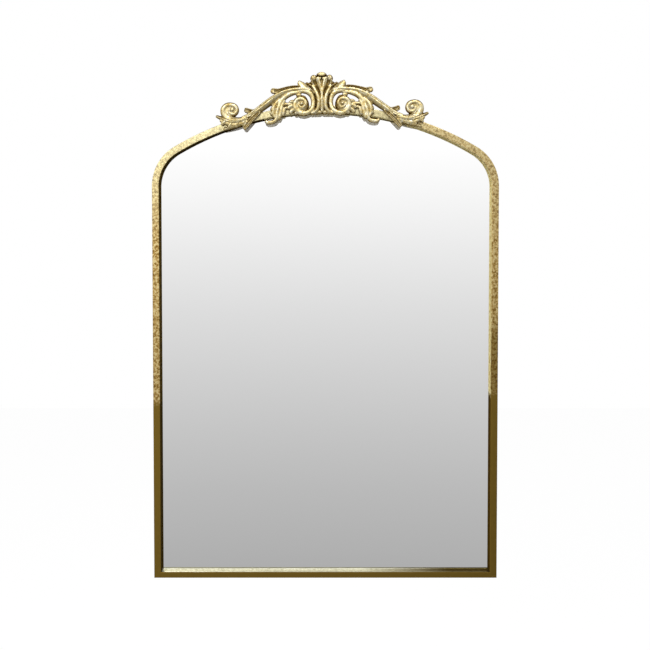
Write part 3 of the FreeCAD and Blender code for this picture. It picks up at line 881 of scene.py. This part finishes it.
@dataclass
class Crest:
    """Cast resin crest: a fan of leaves between two leafy scrolls, carved strand by strand."""

    front_y: float = -30.0
    seat_x: float = -5.9
    seat_z: float = 235.6
    seat_turn: float = 0.93
    step: float = 1.0
    around: int = 26
    merge: float = 0.001
    back_share: float = 0.2
    end_share: float = 0.2
    blunt_share: float = 0.5
    voxel: float = 0.62
    smooth_factor: float = 0.5
    smooth_passes: int = 3
    most_triangles: int = 180_000
    flat_share: float = 0.8
    dome_segments: int = 28
    dome_rings: int = 16
    back_facing: float = 0.7
    # Glaze with painted shade in the hollows and along the outer edges, then painted shade on tops that face up
    hollow_reach: int = 4
    hollow_start: float = 0.3
    hollow_depth: float = 3.6
    hollow_share: float = 0.92
    top_shade_from: float = 0.1
    top_shade_full: float = 0.65
    top_shade_share: float = 0.85
    smooth_degrees: float = 60.0
    # Domes: x, z, half width, half height and relief of the coils' floors, their eyes and the knobs
    domes: tuple[tuple[float, ...], ...] = (
        (36.5, 2, 14, 14, 8.0), (35.5, 3.6, 3.2, 3.2, 11.5), (160.5, -6.5, 14, 12.5, 8.5), (157, -4.6, 4.4, 4.4, 11.5),
        (0, 10, 9, 24, 6.5), (0, 38, 14, 14, 7.5), (13.6, 47.8, 6.3, 6.2, 8.8), (0, 53.4, 9.2, 4.6, 13.3),
        (6.5, 47.0, 3.4, 3.0, 11.8), (2.6, 46.6, 2.6, 2.8, 11.4), (85.5, 27, 4.4, 4.8, 7.0),
    )

    def strand(self, index: int, strand: Strand) -> Piece:
        """Lay a grid along a strand's path and fold it round the strand's section.

        Args:
            index: Number of the strand.
            strand: Its section and path.

        Returns:
            A closed strand with a flat back.
        """
        line = strand.line(self.step)
        deselect()
        bpy.ops.mesh.primitive_grid_add(x_subdivisions=len(line) - 1, y_subdivisions=self.around, size=1.0)
        piece = started(f"strand_{index}")
        flat = np.empty(len(piece.data.vertices) * 3)
        piece.data.vertices.foreach_get("co", flat)
        flat = flat.reshape(-1, 3)
        row = np.rint((flat[:, 0] + 0.5) * (len(line) - 1)).astype(int)
        turn = flat[:, 1] + 0.5
        x, z, width, height, along, side_x, side_z = line[row].T
        from_end = np.minimum(along, line[-1, 4] - along) / width
        blunt, full = (np.sqrt(1 - (1 - np.clip(from_end / share, 0, 1)) ** 2)
                       for share in (self.blunt_share, self.end_share))
        front = np.clip((turn - self.back_share) / (1 - self.back_share), 0, 1)
        across = np.where(turn < self.back_share, 1 - 2 * turn / self.back_share, -np.cos(np.pi * front))
        on_back = (turn <= self.back_share) | (turn > 1 - 1e-6)
        rise = np.where(on_back, 0.0, strand.section.rise(across)) * height * full
        out = across * width / 2 * blunt
        laid = np.column_stack([x + out * side_x, self.front_y - rise, self.seat_z + z + out * side_z]) * MM
        piece.data.vertices.foreach_set("co", laid.ravel())
        piece.data.update()
        close_mesh(piece, self.merge)
        return piece

    def dome(self, index: int, x: float, z: float, half_width: float, half_height: float, relief: float) -> Piece:
        """Model a dome from a sphere cut flat at the crest's back and, less, at its front.

        Args:
            index: Number of the dome.
            x: Place across from the middle, in mm.
            z: Place above the arch's top, in mm.
            half_width: Half of its width in mm.
            half_height: Half of its height in mm.
            relief: How far it stands out, in mm.

        Returns:
            A closed half dome.
        """
        deselect()
        bpy.ops.mesh.primitive_uv_sphere_add(segments=self.dome_segments, ring_count=self.dome_rings, radius=1.0,
                                             location=(0, 0, 0))
        piece = started(f"dome_{index}")
        middle = (x, self.front_y, self.seat_z + z)
        lay(middle, (half_width, relief / self.flat_share, half_height))
        seat = Vector(middle) * MM
        bpy.ops.mesh.bisect(plane_co=seat, plane_no=(0, 1, 0), use_fill=True, clear_outer=True)
        bpy.ops.mesh.select_all(action="SELECT")
        bpy.ops.mesh.bisect(plane_co=seat - Vector((0, relief * MM, 0)), plane_no=(0, -1, 0), use_fill=True,
                            clear_outer=True)
        edit_mode(False)
        close_mesh(piece)
        return piece

    def casting(self) -> Piece:
        """Join the strands and domes, mirror them and melt them into one casting.

        Returns:
            The whole crest as one closed mesh.
        """
        carved = [self.strand(i, strand) for i, strand in enumerate(STRANDS)]
        carved += [self.dome(i, *dome) for i, dome in enumerate(self.domes)]
        select_only(*carved)
        bpy.ops.object.join()
        piece = started("gilt_crest")
        apply_modifier(piece, "MIRROR", use_axis=(True, False, False))
        apply_modifier(piece, "REMESH", mode="VOXEL", voxel_size=self.voxel * MM)
        apply_modifier(piece, "SMOOTH", factor=self.smooth_factor, iterations=self.smooth_passes)
        triangles = sum(len(face.vertices) - 2 for face in piece.data.polygons)
        if triangles > self.most_triangles:
            apply_modifier(piece, "DECIMATE", ratio=self.most_triangles / triangles)
        close_mesh(piece)
        seat = Vector((0, 0, self.seat_z)) * MM
        piece.data.transform(Matrix.Translation(seat + Vector((self.seat_x * MM, 0, 0)))
                             @ Matrix.Rotation(-math.radians(self.seat_turn), 4, "Y") @ Matrix.Translation(-seat))
        settle(piece, self.smooth_degrees)
        return piece

    def mark_glaze_and_shade(self, piece: Piece, attribute: str) -> None:
        """Store how far each point of the carving lies below its surroundings, where glaze and painted shade darken
        it, or how far it faces up, where painted shade darkens it.

        Args:
            piece: The casting.
            attribute: Name of the point attribute.
        """
        points = np.empty(len(piece.data.vertices) * 3)
        piece.data.vertices.foreach_get("co", points)
        points = points.reshape(-1, 3) / MM
        relief = self.front_y - points[:, 1]
        cell = np.rint(points[:, [0, 2]]).astype(int)
        cell -= cell.min(0) - self.hollow_reach
        top = np.zeros(cell.max(0) + self.hollow_reach + 1)
        np.maximum.at(top, (cell[:, 0], cell[:, 1]), relief)
        spans = range(-self.hollow_reach, self.hollow_reach + 1)
        around = np.max([np.roll(top, (i, j), (0, 1)) for i in spans for j in spans], axis=0)
        around = np.mean([np.roll(around, (i, j), (0, 1)) for i in (-1, 0, 1) for j in (-1, 0, 1)], axis=0)
        depth = (around[cell[:, 0], cell[:, 1]] - relief) / self.hollow_depth
        # Hollows and outer edges: glaze together with painted shade
        glaze_and_shade = np.clip(depth - self.hollow_start, 0, 1) * self.hollow_share
        normals = np.empty(points.size)
        piece.data.vertex_normals.foreach_get("vector", normals)
        # Painted shade on tops that face up
        top_shade = np.interp(normals[2::3], (self.top_shade_from, self.top_shade_full), (0, self.top_shade_share))
        layer = piece.data.attributes.new(attribute, "FLOAT", "POINT")
        layer.data.foreach_set("value", np.maximum(glaze_and_shade, top_shade).astype(np.float32))

    def build(self, leaf: GoldLeaf, bare: Material) -> None:
        """Carve, dress and mount the crest.

        Args:
            leaf: Gold leaf with its glaze and painted shade in the hollows, and painted shade on tops that face up.
            bare: The resin's own finish, on the flat back.
        """
        piece = self.casting()
        self.mark_glaze_and_shade(piece, leaf.hollow)
        dress(piece, leaf.material())
        piece.data.materials.append(bare)
        for face in piece.data.polygons:
            face.material_index = int(face.normal.y > self.back_facing)
        mount(piece, "mirror", "gilt_resin", "crest_casting")


@dataclass
class Screw:
    """Pan-head screw with a cross recess, seen from the back of the mirror."""

    head_radius: float = 3.4
    head_height: float = 1.9
    segments: int = 24
    rim_share: float = 0.75
    rim_steps: int = 5
    smooth_degrees: float = 35.0
    slot_length: float = 3.6
    slot_width: float = 0.8
    slot_depth: float = 1.1

    def model(self) -> Piece:
        """Model one head at the origin, its flat side at Y = 0 and its dome towards +Y.

        Returns:
            The head, to be copied.
        """
        deselect()
        bpy.ops.mesh.primitive_cylinder_add(vertices=self.segments, radius=self.head_radius * MM,
                                            depth=self.head_height * MM, end_fill_type="NGON")
        head = started("screw_head")
        lay((0, self.head_height / 2, 0), turn=90.0, axis="X")
        bpy.ops.mesh.select_all(action="DESELECT")
        edit_mode(False)
        for face in head.data.polygons:
            face.select = face.center.y > (self.head_height - NEAR_MM) * MM
        edit_mode(True)
        bpy.ops.mesh.bevel(offset=self.head_height * self.rim_share * MM, segments=self.rim_steps, affect="EDGES")
        edit_mode(False)
        for turned in (False, True):
            self.cut_slot(head, turned)
        close_mesh(head)
        settle(head, self.smooth_degrees)
        return head

    def cut_slot(self, head: Piece, turned: bool) -> None:
        """Cut one arm of the cross recess.

        Args:
            head: The screw's head.
            turned: True for the upright arm.
        """
        deselect()
        bpy.ops.mesh.primitive_cube_add(size=1.0)
        cutter = started("slot_cutter")
        size = (self.slot_width, 2 * self.slot_depth, self.slot_length)
        lay((0, self.head_height, 0), size[::-1] if turned else size)
        edit_mode(False)
        apply_modifier(head, "BOOLEAN", operation="DIFFERENCE", solver="EXACT", object=cutter)
        bpy.data.objects.remove(cutter)

    def drive(self, head: Piece, name: str, place: Place, turn: float) -> Piece:
        """Copy the head to a hole.

        Args:
            head: The modelled head.
            name: Name of the copy.
            place: Hole's mouth in mm.
            turn: Turn of the recess in degrees.

        Returns:
            The copy, with its own mesh.
        """
        select_only(head)
        bpy.ops.object.duplicate(linked=False)
        copy = started(name)
        lay(place, turn=turn)
        edit_mode(False)
        settle(copy, self.smooth_degrees)
        return copy


class Side(Enum):
    """Side of the mirror, seen from the front, with its sign along X."""

    LEFT = -1
    RIGHT = 1

    @property
    def word(self) -> str:
        """The side as the names of pieces and nodes give it."""
        return self.name.lower()


@dataclass
class BackPanel:
    """Fibreboard panel, its foam tape, and the lugs and screws that hold it."""

    tape_count: int = 4
    lug_count: int = 10
    lug_back_y: float = -5.0
    lug_holes: tuple[tuple[float, float], ...] = (
        (283.5, -490.0), (283.5, -250.0), (283.5, 40.0), (165.0, -580.5), (147.21, 193.57))
    turn_step: float = 37.0

    def build(self, board: Material, tape: Material, gilt: Material, head: Piece, screw: Screw) -> None:
        """Dress the board, the tape and the lugs, and drive the screws.

        Args:
            board: Finish of the board.
            tape: Finish of the tape.
            gilt: Finish of the lugs.
            head: Modelled screw head.
            screw: The screw's sizes.
        """
        dress(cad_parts["backing_board"], board)
        for i in range(self.tape_count):
            dress(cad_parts[f"foam_tape_{i + 1}"], tape)
        for i in range(self.lug_count):
            dress(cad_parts[f"board_lug_{i + 1}"], gilt)
        for i, (x, z) in enumerate(self.lug_holes):
            for side in Side:
                turn = self.turn_step * (i + (side is Side.LEFT))
                copy = screw.drive(head, f"lug_screw_{side.word}_{i + 1}", (side.value * x, self.lug_back_y, z), turn)
                mount(copy, "mirror", "zinc_steel")


@dataclass
class Hangers:
    """Two D-rings on straps that are screwed to the board."""

    x: float = 240.0
    axis_y: float = -3.9
    axis_z: float = -15.5
    wire_radius: float = 1.5
    leg_half: float = 8.0
    corner_radius: float = 3.0
    side_length: float = 3.0
    wire_segments: int = 16
    corner_steps: int = 8
    bow_steps: int = 24
    smooth_degrees: float = 60.0
    strap_back_y: float = -5.5
    strap_holes: tuple[float, ...] = (-26.5, -39.5)
    turn_step: float = 53.0

    def ring(self, side: Side) -> Piece:
        """Bend one wire D-ring, from the middle of its leg round to the start.

        Args:
            side: Side that it hangs on.

        Returns:
            The closed ring.
        """
        centre = side.value * self.x
        shoulder = self.axis_z + self.corner_radius + self.side_length
        deselect()
        bpy.ops.mesh.primitive_circle_add(vertices=self.wire_segments, radius=self.wire_radius * MM,
                                          fill_type="NOTHING")
        piece = started(f"d_ring_wire_{side.word}")
        lay((centre, self.axis_y, self.axis_z), turn=90.0)
        self.run(self.leg_half, 0)
        self.turn(90, centre + self.leg_half, self.axis_z + self.corner_radius, self.corner_steps)
        self.run(0, self.side_length)
        self.turn(180, centre, shoulder, self.bow_steps)
        self.run(0, -self.side_length)
        self.turn(90, centre - self.leg_half, self.axis_z + self.corner_radius, self.corner_steps)
        self.run(self.leg_half, 0)
        edit_mode(False)
        close_mesh(piece)
        settle(piece, self.smooth_degrees)
        return piece

    def run(self, across: float, up: float) -> None:
        """Extrude the wire's end straight, in mm."""
        bpy.ops.mesh.extrude_region_move(TRANSFORM_OT_translate={"value": (across * MM, 0, up * MM)})

    def turn(self, degrees: float, x: float, z: float, steps: int) -> None:
        """Spin the wire's end anticlockwise, from the front, about a point in mm."""
        bpy.ops.mesh.spin(steps=steps, angle=math.radians(degrees), axis=(0, 1, 0),
                          center=(x * MM, self.axis_y * MM, z * MM))

    def build(self, zinc: Material, head: Piece, screw: Screw) -> None:
        """Bend the rings, dress the straps and drive their screws.

        Args:
            zinc: Finish of the rings and straps.
            head: Modelled screw head.
            screw: The screw's sizes.
        """
        for side in Side:
            ring = self.ring(side)
            dress(ring, zinc)
            mount(ring, f"{side.word}_ring", "zinc_steel", f"d_ring_{side.word}")
            dress(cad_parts[f"hanger_strap_{side.word}"], zinc)
            for i, z in enumerate(self.strap_holes):
                place = (side.value * self.x, self.strap_back_y, z)
                copy = screw.drive(head, f"strap_screw_{side.word}_{i + 1}", place, self.turn_step * (i + 1))
                mount(copy, "mirror", "zinc_steel")


@dataclass
class Studio:
    """Plain white studio: pale floor, soft light and the camera."""

    camera_place: Place = (-0.0008, -1.580, -0.030)
    camera_drop: float = 1.834
    lens_mm: float = 48.73
    shift_down: float = 0.060
    floor_z: float = -1.5
    floor_size: float = 14.0
    floor_matt: float = 0.15
    floor_glow: float = 1.07
    ambient: float = 0.5
    key_place: Place = (-1.05, -2.35, 1.25)
    key_size: float = 0.9
    key_watts: float = 16.5
    fill_place: Place = (0.4, -1.5, 2.0)
    fill_size: float = 1.0
    fill_watts: float = 42.0
    # Brightness that the metal and the glass see, by the sine of the angle above the horizon
    sky: tuple[tuple[float, float], ...] = (
        (-0.9, 0.75), (-0.60, 0.6), (-0.45, 0.42), (-0.36, 0.40), (-0.317, 0.445), (-0.257, 0.497), (-0.194, 0.566),
        (-0.1285, 0.647), (-0.062, 0.734), (0.0, 0.828), (0.075, 0.950), (0.15, 1.06), (0.24, 1.15), (0.45, 1.2),
        (0.7, 0.9), (0.95, 0.3))
    # Brightness towards the right, where a dark flag stands, by the sine of the angle across
    flag: tuple[tuple[float, float], ...] = ((0.185, 1.0), (0.28, 0.08), (0.34, 0.1), (0.5, 0.75), (0.7, 0.9))

    def shiny(self, tree: Tree, rays: Outputs) -> Socket:
        """Join the rays that come off metal with those that come through glass."""
        return add_node(tree, "Math", {0: rays["Is Glossy Ray"], 1: rays["Is Transmission Ray"]},
                        operation="MAXIMUM")[0]

    def world(self) -> None:
        """Make a white background for the camera, and a graded one for metal and glass."""
        world = bpy.data.worlds.new("white_studio")
        bpy.context.scene.world = world
        world.use_nodes = True
        tree = world.node_tree
        tree.nodes.clear()
        way = add_node(tree, "TexCoord")["Generated"]
        parts = add_node(tree, "SeparateXYZ", {0: way})
        low, high = self.sky[0][0], self.sky[-1][0]
        level = add_node(tree, "MapRange", {"Value": parts["Z"], "From Min": low, "From Max": high})["Result"]
        sky = add_node(tree, "ValToRGB", {"Fac": level}, tuple(
            ((s - low) / (high - low), (b, b, b, 1.0)) for s, b in self.sky))["Color"]
        shade = add_node(tree, "ValToRGB", {"Fac": parts["X"]}, tuple(
            (s, (b, b, b, 1.0)) for s, b in self.flag))["Color"]
        seen = add_node(tree, "Math", {0: sky, 1: shade}, operation="MULTIPLY")[0]
        rays = add_node(tree, "LightPath")
        lit = add_node(tree, "Mix", {0: self.shiny(tree, rays), 2: self.ambient, 3: seen})[0]
        strength = add_node(tree, "Mix", {0: rays["Is Camera Ray"], 2: lit, 3: 1.0})[0]
        back = add_node(tree, "Background", {"Color": WHITE, "Strength": strength})
        add_node(tree, "OutputWorld", {"Surface": back[0]})

    def floor(self) -> None:
        """Lay a pale floor that keeps the object's shadow and lets reflections see the background."""
        deselect()
        bpy.ops.mesh.primitive_plane_add(size=self.floor_size, location=(0, 0, self.floor_z))
        floor = started("studio_floor")
        made, tree = blank_material("pale_studio_floor")
        rays = add_node(tree, "LightPath")
        seen = add_node(tree, "Math", {0: rays["Is Camera Ray"], 1: self.floor_glow}, operation="MULTIPLY")[0]
        glow = add_node(tree, "Emission", {"Color": WHITE, "Strength": seen})
        matt = add_node(tree, "BsdfDiffuse", {"Color": WHITE})
        pale = add_node(tree, "MixShader", {0: self.floor_matt, 1: glow[0], 2: matt[0]})
        clear = add_node(tree, "BsdfTransparent")
        whole = add_node(tree, "MixShader", {0: self.shiny(tree, rays), 1: pale[0], 2: clear[0]})
        add_node(tree, "OutputMaterial", {"Surface": whole[0]})
        dress(floor, made)

    def lamp(self, name: str, place: Place, size: float, watts: float) -> None:
        """Hang a square soft lamp that faces the mirror.

        Args:
            name: The lamp's name.
            place: Where it hangs, in metres.
            size: Side of the lamp in metres.
            watts: Its power.
        """
        deselect()
        bpy.ops.object.light_add(type="AREA", location=place)
        lamp = started(name)
        lamp.data.size = size
        lamp.data.energy = watts
        lamp.rotation_euler = (-Vector(place)).to_track_quat("-Z", "Y").to_euler()

    def camera(self) -> None:
        """Stand the camera at the photograph's viewing angle."""
        deselect()
        bpy.ops.object.camera_add(location=self.camera_place, rotation=(math.radians(90 - self.camera_drop), 0, 0))
        camera = started("photo_camera")
        camera.data.lens = self.lens_mm
        camera.data.shift_y = -self.shift_down
        bpy.context.scene.camera = camera

    def build(self) -> None:
        """Set up the whole studio."""
        bpy.context.scene.view_settings.view_transform = "Standard"
        self.world()
        self.floor()
        self.lamp("key_light", self.key_place, self.key_size, self.key_watts)
        self.lamp("fill_light", self.fill_place, self.fill_size, self.fill_watts)
        self.camera()
        log.info("studio: world, floor, lamps and camera")


def main() -> None:
    """Build the mirror's looks around the frame, piece by piece."""
    logging.basicConfig(level=logging.INFO, format="%(message)s")
    # Height below which a painted dark reflection darkens the frame
    low_shade_below = -279.0
    # Painted highlight over the upper frame, strongest left of the right shoulder, and painted shade darkening the
    # lower right
    gilt_steel = GoldLeaf("gold_leaf_on_steel", low_shade_below_mm=low_shade_below, painted_tones=(
        PaintedTone("d8d9b4", (100.0, 185.0), (0.5, 0.2), (-10.0, 180.0)),
        PaintedTone("c1b99c", (-110.0, 110.0), (0.0, 1.0), (-130.0, -174.0), darkens=True))).material()
    # Painted shade: dark leaf on the inner walls that face away from the lamp, and on the ledge's rounded edge
    shade_leaf = GoldLeaf("painted_shade_leaf", pale="5a4820", gold="483918", deep="362a10", low_shade="3f3114", roughness=0.6,
                      metallic=0.0, specular=0.0, low_shade_below_mm=low_shade_below).material()
    # Painted light: pale leaf on the inner walls that face the lamp
    lit_leaf = GoldLeaf("painted_light_leaf", pale="faf2c6", gold="f2e4a4", deep="d8c27a", low_shade="5c4818", metallic=0.3,
                      specular=0.0, low_shade_below_mm=low_shade_below).material()
    # Painted shade: the ledge and the strip's bottom side darker towards the right
    shade_right = (PaintedTone("84744a", (70.0, 220.0), (0.0, 1.0), (-378.0, -422.0), darkens=True),)
    # Painted highlight: nearly white leaf on the ledge along the bottom
    bright = GoldLeaf("painted_highlight_leaf", pale="d6d3be", gold="cbc8b2", deep="bdb99e", edge_tint="fffaf0",
                      painted_tones=shade_right).material()
    # Painted highlight: pale leaf on the strip's bottom side, which carries on the ledge's bright band
    pearl = GoldLeaf("painted_highlight_bead_leaf", pale="f2f2ea", gold="ececdf", deep="dfdfd0", edge_tint="fffaf0",
                     painted_tones=shade_right).material()
    zinc = ZincPlate().material()
    TubeFrame().build(gilt_steel, shade_leaf, lit_leaf, bright)
    # Thin strip round the glass that carries painted shade and painted light
    TubeFrame("glazing_bead", width=585.0, bottom_z=-589.5, shoulder_radius=67.5, arch_radius=512.5, face=1.1,
              bottom_face=2.8, back_y=-17.5, depth=1.2, edge=0.3, edge_steps=2).build_painted_strip(shade_leaf, lit_leaf, pearl)
    # Crest leaf: glaze with painted shade in the hollows, painted shade on tops that face up
    Crest().build(GoldLeaf("gold_leaf_on_resin", pale="e8e4d0", gold="dccc98", deep="b0924a", mottle_mm=9.0,
                           speck_mm=3.0, roughness=0.47, dent_mm=0.06, speck_share=0.5, spread=0.14, hollow="hollow"),
                  BareResin().material())
    dress(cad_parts["mirror_glass"], SilveredGlass().material())
    screw = Screw()
    head = screw.model()
    dress(head, zinc)
    BackPanel().build(Fibreboard().material(), FoamTape().material(), gilt_steel, head, screw)
    Hangers().build(zinc, head, screw)
    bpy.data.objects.remove(head)
    Studio().build()


if __name__ == "__main__":
    main()
